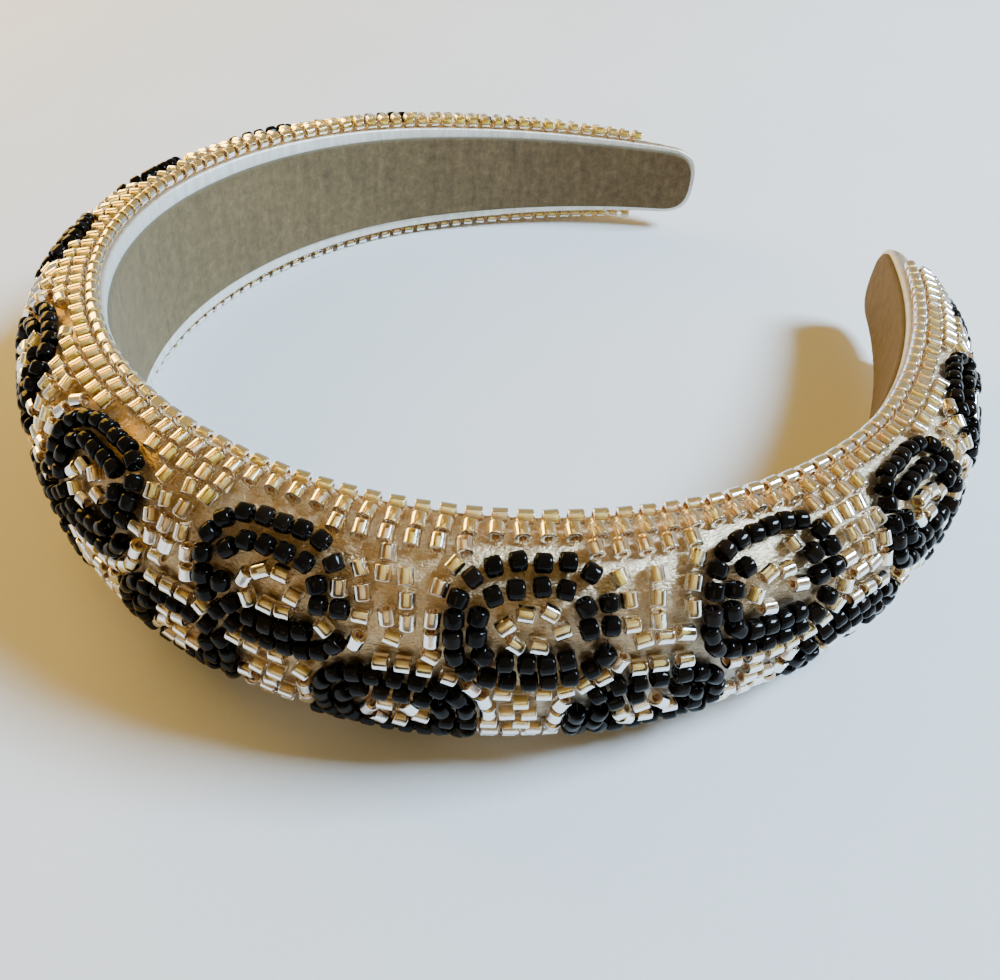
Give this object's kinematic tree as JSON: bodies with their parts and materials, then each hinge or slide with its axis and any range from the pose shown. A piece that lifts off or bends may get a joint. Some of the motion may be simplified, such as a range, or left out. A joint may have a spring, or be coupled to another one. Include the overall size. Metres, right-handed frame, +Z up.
{
  "type": "padded beaded headband",
  "caption": "C-shaped springy padded headband, metallic fabric over a foam crown on a plastic former, suede lined, sewn all over with glass seed beads in a leopard rosette pattern.",
  "frame": {"origin": "centre of the bounding box's bottom face, on the surface that the band rests on", "axes": "+Z up from the surface; +Y from the apex towards the two tips; X across the two arms"},
  "size_m": [0.1532, 0.156, 0.0352],
  "materials": {
    "black_glass_beads": "glossy opaque glass",
    "rosette_gold_glass_beads": "silver-lined clear champagne glass",
    "gold_glass_beads": "silver-lined clear gold glass",
    "beading_thread": "clear nylon",
    "plastic_former": "moulded",
    "foam": "soft polyurethane foam",
    "metallic_fabric": "silver champagne metallic weave",
    "suede": "napped suede"
  },
  "bodies": {
    "root": {"black_beads_crown": "black_glass_beads", "black_beads_left_end": "black_glass_beads", "black_beads_left_shoulder": "black_glass_beads", "black_beads_left_side": "black_glass_beads", "black_beads_right_end": "black_glass_beads", "black_beads_right_shoulder": "black_glass_beads", "black_beads_right_side": "black_glass_beads", "bottom_edge_beads": "gold_glass_beads", "bottom_edge_thread": "beading_thread", "bottom_rest_beads": "gold_glass_beads", "fabric_cover": "metallic_fabric", "foam_pad": "foam", "gold_beads_crown": "gold_glass_beads", "gold_beads_left_end": "gold_glass_beads", "gold_beads_left_shoulder": "gold_glass_beads", "gold_beads_left_side": "gold_glass_beads", "gold_beads_right_end": "gold_glass_beads", "gold_beads_right_shoulder": "gold_glass_beads", "gold_beads_right_side": "gold_glass_beads", "plastic_former": "plastic_former", "rosette_centres_crown": "rosette_gold_glass_beads", "rosette_centres_left_end": "rosette_gold_glass_beads", "rosette_centres_left_shoulder": "rosette_gold_glass_beads", "rosette_centres_left_side": "rosette_gold_glass_beads", "rosette_centres_right_end": "rosette_gold_glass_beads", "rosette_centres_right_shoulder": "rosette_gold_glass_beads", "rosette_centres_right_side": "rosette_gold_glass_beads", "suede_lining": "suede", "top_edge_beads": "gold_glass_beads", "top_edge_thread": "beading_thread"}
  },
  "joints": []
}
